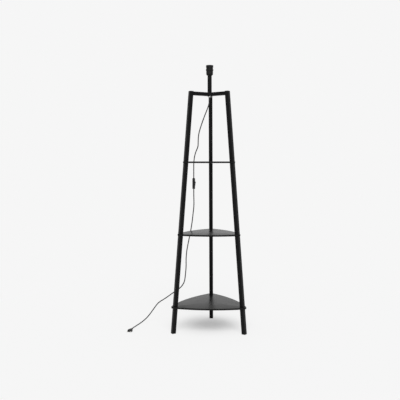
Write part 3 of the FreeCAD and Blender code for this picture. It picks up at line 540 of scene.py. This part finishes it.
# The rounding of the shells' outer edge, as (inset, depth) steps along a quarter circle.
outer_bend = []
for angle in np.linspace(0, np.pi / 2, 7):
    bend_inset = shell_round * (1 - math.cos(angle))
    bend_depth = switch_half_depth - shell_round * (1 - math.sin(angle))
    outer_bend.append((bend_inset, bend_depth))
wall_top = switch_half_depth - switch_wall
# The window's rings: how far outside its edge each lies, its corners' size, its depth under the face.
window_steps = (
    (1.1 * mm, 1.9 * mm, 0), (0.8 * mm, 1.6 * mm, 0), (0, 1.0 * mm, 0.6 * mm), (0, 1.0 * mm, switch_wall),
)
front_rings = switch_rings([
    (seam_bevel, seam_play), (0, seam_bevel), *outer_bend, (shell_round + face_border, switch_half_depth),
])
for outset, corner, drop in window_steps:
    half_width = window_half_width + outset
    half_length = window_half_length + outset
    front_rings.append(oblong(half_width, half_length, corner, switch_half_depth - drop))
front_rings += switch_rings([(switch_wall, wall_top), (switch_wall, seam_play)])
front_shell = piece(
    "switch_front", surface(np.array(front_rings) + switch_middle, loop=True),
    switch_plastic, "switch_plastic", "switch_front_shell",
)
back_rings = switch_rings([
    (switch_wall + floor_border, wall_top), (switch_wall, wall_top), (switch_wall, seam_play),
    (seam_bevel, seam_play), (0, seam_bevel), *outer_bend, (shell_round + back_border, switch_half_depth),
])
back_grid = (np.array(back_rings) * [-1, 1, 1] + switch_middle)[:, ::-1]
back_shell = piece("switch_back", surface(back_grid), switch_plastic, "switch_plastic", "switch_back_shell")

# The rocker: one black moulding that tilts on a steel axle. Its top is a shallow V between raised ends, its
# foot narrows to the boss round the axle, and it leans with its upper end out. The axle and the screws are
# zinc plated and the terminals are brass.
axle_low, axle_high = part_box("switch_axle")
axle = np.array([(axle_low.x + axle_high.x) / 2, switch_middle[1], (axle_low.z + axle_high.z) / 2])
rocker_half_length = 11 * mm
rocker_half_width = 4.5 * mm
rocker_rise = 5.5 * mm
rocker_dip = 4.2 * mm
rocker_skirt = 0.5 * mm
rocker_boss = 2.2 * mm
rocker_tilt = math.radians(8)
rocker_corners = [
    (-rocker_boss, -rocker_boss), (rocker_skirt, -rocker_half_length), (rocker_rise, -rocker_half_length),
    (rocker_dip, 0),
    (rocker_rise, rocker_half_length), (rocker_skirt, rocker_half_length), (-rocker_boss, rocker_boss),
]
rocker_rounds = np.array([1.5, 0.6, 0.9, 9, 0.9, 0.6, 1.5]) * mm
rocker_outline = softened(rocker_corners, rocker_rounds, steps=8)
outline_reach = np.linalg.norm(rocker_outline, axis=1, keepdims=True)
# The rocker's rings: how far each is drawn in, and its place as a share of the half width.
rocker_steps = (
    (0.55 * mm, -1), (0.25 * mm, -0.97), (0, -0.92), (0, 0.92), (0.25 * mm, 0.97), (0.55 * mm, 1),
)
rocker_rings = []
for inset, across in rocker_steps:
    ring = rocker_outline * (1 - inset / outline_reach)
    rocker_rings.append(np.c_[ring[:, 0], np.full(len(ring), across * rocker_half_width), ring[:, 1]])
rocker_rings = np.array(rocker_rings)
lean_x = rocker_rings[..., 0] * math.cos(rocker_tilt) + rocker_rings[..., 2] * math.sin(rocker_tilt)
lean_z = rocker_rings[..., 2] * math.cos(rocker_tilt) - rocker_rings[..., 0] * math.sin(rocker_tilt)
rocker_grid = np.stack([lean_x, rocker_rings[..., 1], lean_z], axis=-1) + axle
piece(
    "rocker_button", surface(rocker_grid[:, ::-1]), switch_plastic, "switch_plastic", "switch_rocker",
    body="rocker",
)
zinc_steel = finish(
    "zinc_steel", dark=(0.50, 0.50, 0.52), light=(0.62, 0.62, 0.64),
    smooth=0.25, rough=0.42, scale=700, bump=0.2, metallic=1.0,
)
socket_brass = finish(
    "socket_brass", dark=(0.62, 0.48, 0.24), light=(0.74, 0.60, 0.34),
    smooth=0.22, rough=0.40, scale=700, bump=0.15, metallic=1.0,
)
coat(zinc_steel, "switch_axle", "switch_screws")
coat(socket_brass, "switch_terminals")

# The legs: square steel tube, 22 mm wide, with a satin black powder coat. Each leg is four tubes, cut
# level and clamped between the boards; the tubes lean in, so a level section is a little longer outwards.
foot_low, foot_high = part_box("leg_foot_rear")
top_low, top_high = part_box("leg_upper_rear")
leg_lean = (foot_high.y - top_high.y) / (top_low.z - foot_low.z)
section_outwards = (foot_high.y - foot_low.y - leg_lean * (foot_high.z - foot_low.z)) / 2
tube_half = (foot_high.x - foot_low.x) / 2
tube_wall = 1.2 * mm
tube_corner = 1.6 * mm
end_bevel = 0.4 * mm
leg_turns = {"left": math.radians(210), "right": math.radians(330), "rear": math.radians(90)}


def leg_radius(height):
    """Distance of a leg's centre line from the lamp's axis: that at the floor, less lean times height."""
    return foot_high.y - lamp_axis[1] - section_outwards - leg_lean * (height - foot_low.z)


def turned_out(turn, outwards, sideways, height):
    """Points u outwards and v sideways of the lamp's axis, turned to a leg's side by the angle a.

    They lie at (u cos a - v sin a, u sin a + v cos a) from the axis.
    """
    x = outwards * math.cos(turn) - sideways * math.sin(turn)
    y = outwards * math.sin(turn) + sideways * math.cos(turn)
    return np.c_[x, y, height + 0 * x] + lamp_axis


def leg_ring(turn, height, inset=0.0, corner=tube_corner):
    """The level section of a leg, moved in by an inset: a round-cornered rectangle on its centre line."""
    outline = rectangle(section_outwards - inset, tube_half - inset, corner, steps=6)
    return turned_out(turn, leg_radius(height) + outline[:, 0], outline[:, 1], height)


frame_paint = finish(
    "frame_paint", dark=(0.0042, 0.0042, 0.0043), light=(0.0062, 0.0062, 0.0064),
    smooth=0.36, rough=0.42, scale=420, bump=0.05, specular=0.08,
)
for section in ("foot", "lower", "middle", "upper"):
    for side, turn in leg_turns.items():
        node = f"leg_{section}_{side}"
        low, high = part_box(node)
        rings = [
            leg_ring(turn, low.z, end_bevel), leg_ring(turn, low.z + end_bevel),
            leg_ring(turn, high.z - end_bevel), leg_ring(turn, high.z, end_bevel),
            leg_ring(turn, high.z, tube_wall, tube_corner / 2),
            leg_ring(turn, low.z, tube_wall, tube_corner / 2),
        ]
        tube = surface(np.array(rings), loop=True)
        piece(f"{section}_tube_{side}", tube, frame_paint, "frame_paint", node)

# Foot glides and end caps: black polyethylene, moulded with a plate that covers the tube's end and a plug
# that is pressed into it. A glide's plate lies under its foot tube and a cap's on top of its upper tube.
plate_thickness = 2.5 * mm
plate_round = 0.8 * mm
rim_height = 0.28 * mm
rim_inset = 0.2 * mm
shoulder_inset = 0.1 * mm
plug_play = 0.1 * mm
plug_taper = 0.5 * mm
plug_inset = tube_wall + plug_play
cap_plastic = finish(
    "cap_plastic", dark=(0.008, 0.008, 0.008), light=(0.012, 0.012, 0.0125),
    smooth=0.50, rough=0.64, scale=1300, bump=0.15, specular=0.25,
)
for name, way in (("foot_glide", 1), ("end_cap", -1)):
    for side, turn in leg_turns.items():
        node = f"{name}_{side}"
        face, plug_end = [corner.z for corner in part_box(node)][::way]
        shoulder = face + way * plate_thickness
        profile = [
            (plate_round, face), (rim_inset, face + way * rim_height), (0, shoulder - way * rim_height),
            (shoulder_inset, shoulder), (plug_inset, shoulder), (plug_inset + plug_taper, plug_end),
        ]
        rings = [leg_ring(turn, height, inset) for inset, height in profile][::way]
        piece(f"{name}_{side}_plug", surface(np.array(rings)), cap_plastic, "foot_plastic", node)

# The boards: 9 mm fibreboard, faced and edged in satin black. Each outline is three arcs between round
# corners about the leg centres. The studs and threaded inserts that hold the tubes to them are zinc plated.
board_round = 0.7 * mm
board_crease = 50
# The corner radius of each board, and how far its sides bulge between the legs.
board_shapes = {
    "bottom": (22 * mm, 27.8 * mm), "middle": (17 * mm, 30.5 * mm), "upper": (16.5 * mm, 26.5 * mm),
}


def board_ring(leg_circle, corner, bulge, inset, height):
    """The outline of a board, moved in by an inset.

    The curve through the leg centres has the radius (b^2 + c^2) / 2b for the bulge b and half the span c
    between two legs. The side arcs are that curve moved out by the corner radius, about the same centres.
    """
    half_span = leg_circle * math.sqrt(3) / 2
    span_radius = (bulge ** 2 + half_span ** 2) / (2 * bulge)
    centre_distance = span_radius - leg_circle / 2 - bulge
    side_swing = math.asin(half_span / span_radius)
    stretches = []
    for turn in np.radians((90, 210, 330)):
        corner_angle = np.linspace(-1, 1, 15)[:-1] * (math.pi / 3 - side_swing) + turn
        centre = leg_circle * np.array([math.cos(turn), math.sin(turn)])
        stretches.append(centre + (corner - inset) * np.c_[np.cos(corner_angle), np.sin(corner_angle)])
        side_turn = turn + math.pi / 3
        side_angle = np.linspace(-1, 1, 61)[:-1] * side_swing + side_turn
        centre = -centre_distance * np.array([math.cos(side_turn), math.sin(side_turn)])
        reach = span_radius + corner - inset
        stretches.append(centre + reach * np.c_[np.cos(side_angle), np.sin(side_angle)])
    outline = np.concatenate(stretches)
    return np.c_[outline, np.full(len(outline), height)] + lamp_axis


shelf_board = finish(
    "shelf_board", dark=(0.0042, 0.0042, 0.0043), light=(0.0060, 0.0060, 0.0061),
    smooth=0.30, rough=0.33, scale=1200, bump=0.03, specular=0.12,
)
# The rounding of a board's edge, as (inset, rise) steps along a quarter circle.
board_bend = []
for angle in np.linspace(0, np.pi / 2, 6):
    board_bend.append((board_round * (1 - math.sin(angle)), board_round * (1 - math.cos(angle))))
for shelf, (corner, bulge) in board_shapes.items():
    low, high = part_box(f"{shelf}_shelf")
    circle_radius = leg_radius((low.z + high.z) / 2)
    profile = [(inset, low.z + rise) for inset, rise in board_bend]
    profile += [(inset, high.z - rise) for inset, rise in board_bend[::-1]]
    rings = [board_ring(circle_radius, corner, bulge, inset, height) for inset, height in profile]
    piece(
        f"{shelf}_board", surface(np.array(rings)), shelf_board, "shelf_board", f"{shelf}_shelf",
        crease=board_crease,
    )
    coat(zinc_steel, f"shelf_studs_{shelf}", f"tube_inserts_{shelf}")

# The spokes and the hub: three level square tubes welded to a small steel block in the middle and to the
# inner faces of the legs, coated with the legs. A fine rippled bead of weld runs round both their ends.
spoke_low, spoke_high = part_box("spoke_rear")
spoke_half = (spoke_high.x - spoke_low.x) / 2
spoke_start = spoke_low.y - lamp_axis[1]
spoke_middle = (spoke_low.z + spoke_high.z) / 2
bead_half = 1.3 * mm
bead_sink = 0.5
bead_steps = 160
bead_sides = 12
bead_crease = 60
ripple_height = 0.12


def weld_bead(ring, centre_line, along):
    """Grid of a weld bead round a tube's end.

    The seam is the end's ring, moved in by half the bead and divided into equal steps. At each step is a
    circle of angle v: seam + r (cos v * away - sin v * along), whose radius r ripples every fourth step.
    """
    closed = np.r_[ring, ring[:1]]
    run = np.r_[0, np.cumsum(np.linalg.norm(np.diff(closed, axis=0), axis=1))]
    steps = np.linspace(0, run[-1], bead_steps, endpoint=False)
    seam = np.stack([np.interp(steps, run, closed[:, axis]) for axis in range(3)], axis=-1)
    away = seam - centre_line - along * ((seam - centre_line) @ along)[:, None]
    away = away / np.linalg.norm(away, axis=1, keepdims=True)
    angle = np.linspace(0, 2 * np.pi, bead_sides, endpoint=False)[:, None]
    radius = bead_half * (1 + ripple_height * np.cos(np.pi / 2 * np.arange(bead_steps)))[:, None, None]
    circle = np.cos(angle) * away[:, None] - np.sin(angle) * along
    return (seam - away * bead_half * bead_sink)[:, None] + radius * circle


outside = rectangle(spoke_half, spoke_half, tube_corner, steps=6)
inside = outside * (1 - tube_wall / spoke_half)
for side, turn in leg_turns.items():
    rings = []
    for section, far in ((outside, False), (outside, True), (inside, True), (inside, False)):
        height = spoke_middle + section[:, 1]
        reach = leg_radius(height) - section_outwards if far else spoke_start
        rings.append(turned_out(turn, reach, section[:, 0], height))
    tube = surface(np.array(rings), loop=True)
    piece(f"spoke_{side}_tube", tube, frame_paint, "frame_paint", f"spoke_{side}")
    spoke_way = np.array([math.cos(turn), math.sin(turn), 0.0])
    spoke_line = lamp_axis + [0, 0, spoke_middle]
    beads = [weld_bead(ring, spoke_line, spoke_way) for ring in rings[:2]]
    welds = surface(*beads, loop=True)
    piece(f"spoke_{side}_welds", welds, frame_paint, "frame_paint", crease=bead_crease)
coat(frame_paint, "hub_block")
coat(zinc_steel, "hub_lock_nut", "hub_washer", "holder_lock_nut", "threaded_rod")

# The stem: a plain round tube, 24 mm thick, clamped between hub and lampholder by the threaded rod
# inside it. Under the hub a white nylon bush guards the cord where it leaves the rod.
stem_half = (stem_high.x - stem_low.x) / 2
stem_wall = 1.5 * mm
stem_inside = stem_half - stem_wall
stem_bevel = 0.5 * mm
stem_profile = [
    (stem_half - stem_bevel, stem_low.z), (stem_half, stem_low.z + stem_bevel),
    (stem_half, stem_high.z - stem_bevel), (stem_half - stem_bevel, stem_high.z),
    (stem_inside, stem_high.z), (stem_inside, stem_low.z),
]
stem_tube = surface(turned(stem_profile, sides=96) + lamp_axis, loop=True)
piece("stem", stem_tube, frame_paint, "frame_paint", "stem_tube")
bush_low, bush_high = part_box("cord_bush")
bush_half = (bush_high.x - bush_low.x) / 2
bush_mouth = bush_half - 1.2 * mm
bush_bore = 3.1 * mm
bush_sleeve = 3.7 * mm
taper_top = bush_low.z + 5.8 * mm
head_top = bush_low.z + 8 * mm
bush_round = 0.5 * mm
bush_profile = softened([
    (bush_bore, bush_low.z), (bush_mouth, bush_low.z), (bush_half, taper_top), (bush_half, head_top),
    (bush_sleeve, head_top), (bush_sleeve, bush_high.z), (bush_bore, bush_high.z),
], bush_round)
bush_plastic = finish(
    "bush_plastic", dark=(0.78, 0.78, 0.76), light=(0.86, 0.86, 0.84),
    smooth=0.35, rough=0.5, scale=1200, bump=0.1,
)
bush = surface(turned(bush_profile, sides=48) + lamp_axis, loop=True)
piece("bush", bush, bush_plastic, "bush_plastic", "cord_bush")

# The lampholder: two black plastic shells screwed together, the upper one with a flange and an outside
# thread. A lip inside the lower shell closes the seam between them. A ribbed ring on the thread clamps a
# shade against the flange.
lower_low, lower_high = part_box("holder_lower_shell")
upper_low, upper_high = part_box("holder_upper_shell")
shell_half = (lower_high.x - lower_low.x) / 2
flange_half = (upper_high.x - upper_low.x) / 2
shell_wall = 1.8 * mm
shell_inside = shell_half - shell_wall
rod_hole = 5.1 * mm
base_bevel = 6 * mm
base_wall = 3 * mm
base_inside = lower_low.z + 7 * mm
seam_gap = 0.2 * mm
seam_depth = 0.6 * mm
seam_bottom = shell_half - seam_depth
lip_rise = 0.15 * mm
lip_top = lower_high.z + lip_rise
holder_sides = 96
holder_plastic = finish(
    "holder_plastic", dark=(0.0050, 0.0050, 0.0050), light=(0.0075, 0.0075, 0.0077),
    smooth=0.40, rough=0.50, scale=1400, bump=0.10, specular=0.15,
)
lower_rounds = np.array([0.3, 3, 3, 0.4, 0.05, 0.05, 0.3, 0.3, 0.3, 0.3]) * mm
lower_profile = softened([
    (rod_hole, lower_low.z), (shell_half - base_bevel, lower_low.z), (shell_half, lower_low.z + base_bevel),
    (shell_half, lower_high.z - seam_gap), (seam_bottom, lower_high.z - seam_gap),
    (seam_bottom, lip_top), (shell_inside, lip_top), (shell_inside, base_inside),
    (shell_half - base_bevel, lower_low.z + base_wall), (rod_hole, lower_low.z + base_wall),
], lower_rounds)
lower_shell = surface(turned(lower_profile, holder_sides) + lamp_axis, loop=True)
piece("holder_lower", lower_shell, holder_plastic, "holder_plastic", "holder_lower_shell")

# The thread is a ridge that climbs one pitch a turn: the height over the flange in pitches, less the turns
# made, is folded into a triangle wave, which fades out at both ends of the thread.
thread_pitch = 2.5 * mm
thread_depth = 0.6 * mm
thread_margin = 0.6 * mm
thread_fading = 0.06
thread_foot = shell_half - thread_depth
mouth_chamfer = 0.3 * mm
flange_low = upper_low.z + 8 * mm
flange_high = upper_low.z + 16 * mm
thread_rows = np.linspace(0, 1, 111)[:, None]
thread_turn = np.linspace(0, 2 * np.pi, holder_sides, endpoint=False)
thread_run = upper_high.z - flange_high - 2 * thread_margin
thread_height = flange_high + thread_margin + thread_rows * thread_run
thread_phase = (thread_height - flange_high) / thread_pitch - thread_turn / (2 * np.pi)
thread_fade = np.clip(np.minimum(thread_rows, 1 - thread_rows) / thread_fading, 0, 1)
thread_ridge = np.abs(2 * (thread_phase % 1) - 1) * thread_fade
thread_grid = around(thread_foot + thread_depth * thread_ridge, thread_turn, thread_height)
upper_rounds = np.array([0.3, 0.4, 0.4, 0.6, 0.6, 0.3]) * mm
below_thread = softened([
    (shell_inside, upper_low.z + seam_gap), (shell_half, upper_low.z + seam_gap), (shell_half, flange_low),
    (flange_half, flange_low), (flange_half, flange_high), (thread_foot, flange_high),
], upper_rounds)
above_thread = [(thread_foot - mouth_chamfer, upper_high.z), (shell_inside, upper_high.z)]
upper_grid = np.concatenate([
    turned(below_thread, holder_sides), thread_grid, turned(above_thread, holder_sides),
])
upper_shell = surface(upper_grid + lamp_axis, loop=True)
piece("holder_upper", upper_shell, holder_plastic, "holder_plastic", "holder_upper_shell")

# The ring's ribs are cosine waves with flattened tops and narrow grooves between them. A groove is deepest
# in the outer face and fades towards the bore and towards the ring's two rims.
ring_low, ring_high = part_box("shade_ring")
ring_half = (ring_high.x - ring_low.x) / 2
ring_play = 0.1 * mm
ring_bore = shell_half + ring_play
ring_round = 0.7 * mm
rib_count = 40
rib_depth = 0.45 * mm
rib_steepness = 1.4
rib_fullness = 0.4
rib_fading = 1.2 * mm
rib_turn = np.linspace(0, 2 * np.pi, rib_count * 8, endpoint=False)
rib_wave = np.clip(rib_steepness * np.cos(rib_count * rib_turn) + rib_fullness, -1, 1) * 0.5 + 0.5
ring_profile = softened([
    (ring_bore, ring_low.z), (ring_half, ring_low.z), (ring_half, ring_high.z), (ring_bore, ring_high.z),
], ring_round)
ring_radius = ring_profile[:, :1]
ring_height = ring_profile[:, 1:]
rib_outwards = np.clip((ring_radius - ring_bore) / (ring_half - ring_bore), 0, 1) ** 3
rib_to_rim = np.minimum(ring_height - ring_low.z, ring_high.z - ring_height)
rib_band = np.clip(rib_to_rim / rib_fading, 0, 1)
rib_radius = ring_radius - rib_depth * (1 - rib_wave) * rib_outwards * rib_band
ring_grid = around(rib_radius, rib_turn, ring_height)
piece(
    "shade_clamp_ring", surface(ring_grid + lamp_axis, loop=True), holder_plastic, "holder_plastic",
    "shade_ring", body="shade_ring",
)

# The socket inside the lampholder: a glazed ceramic insert, a rolled brass screw shell, a brass spring
# contact on its floor and two terminal screws underneath. The screw shell's wall is a cosine wave that
# climbs one pitch a turn.
screw_low, screw_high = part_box("screw_shell")
screw_crest = (screw_high.x - screw_low.x) / 2
screw_pitch = 3.63 * mm
screw_depth = 0.8 * mm
screw_sheet = 0.35 * mm
screw_rows = np.linspace(0, 1, 81)[:, None]
screw_turn = np.linspace(0, 2 * np.pi, 96, endpoint=False)
screw_height = screw_low.z + screw_rows * (screw_high.z - screw_low.z)
screw_wave = 0.5 * np.cos(2 * np.pi * screw_height / screw_pitch - screw_turn) - 0.5
screw_radius = screw_crest + screw_depth * screw_wave
screw_outer = around(screw_radius, screw_turn, screw_height)
screw_inner = around(screw_radius - screw_sheet, screw_turn, screw_height)[::-1]
screw_shell = surface(np.concatenate([screw_outer, screw_inner]) + lamp_axis, loop=True)
piece("socket_thread", screw_shell, socket_brass, "socket_brass", "screw_shell")
insert_ceramic = finish(
    "insert_ceramic", dark=(0.74, 0.73, 0.70), light=(0.80, 0.79, 0.76),
    smooth=0.18, rough=0.30, scale=500, bump=0.05,
)
coat(insert_ceramic, "socket_insert")
coat(socket_brass, "centre_contact", "terminal_screws")
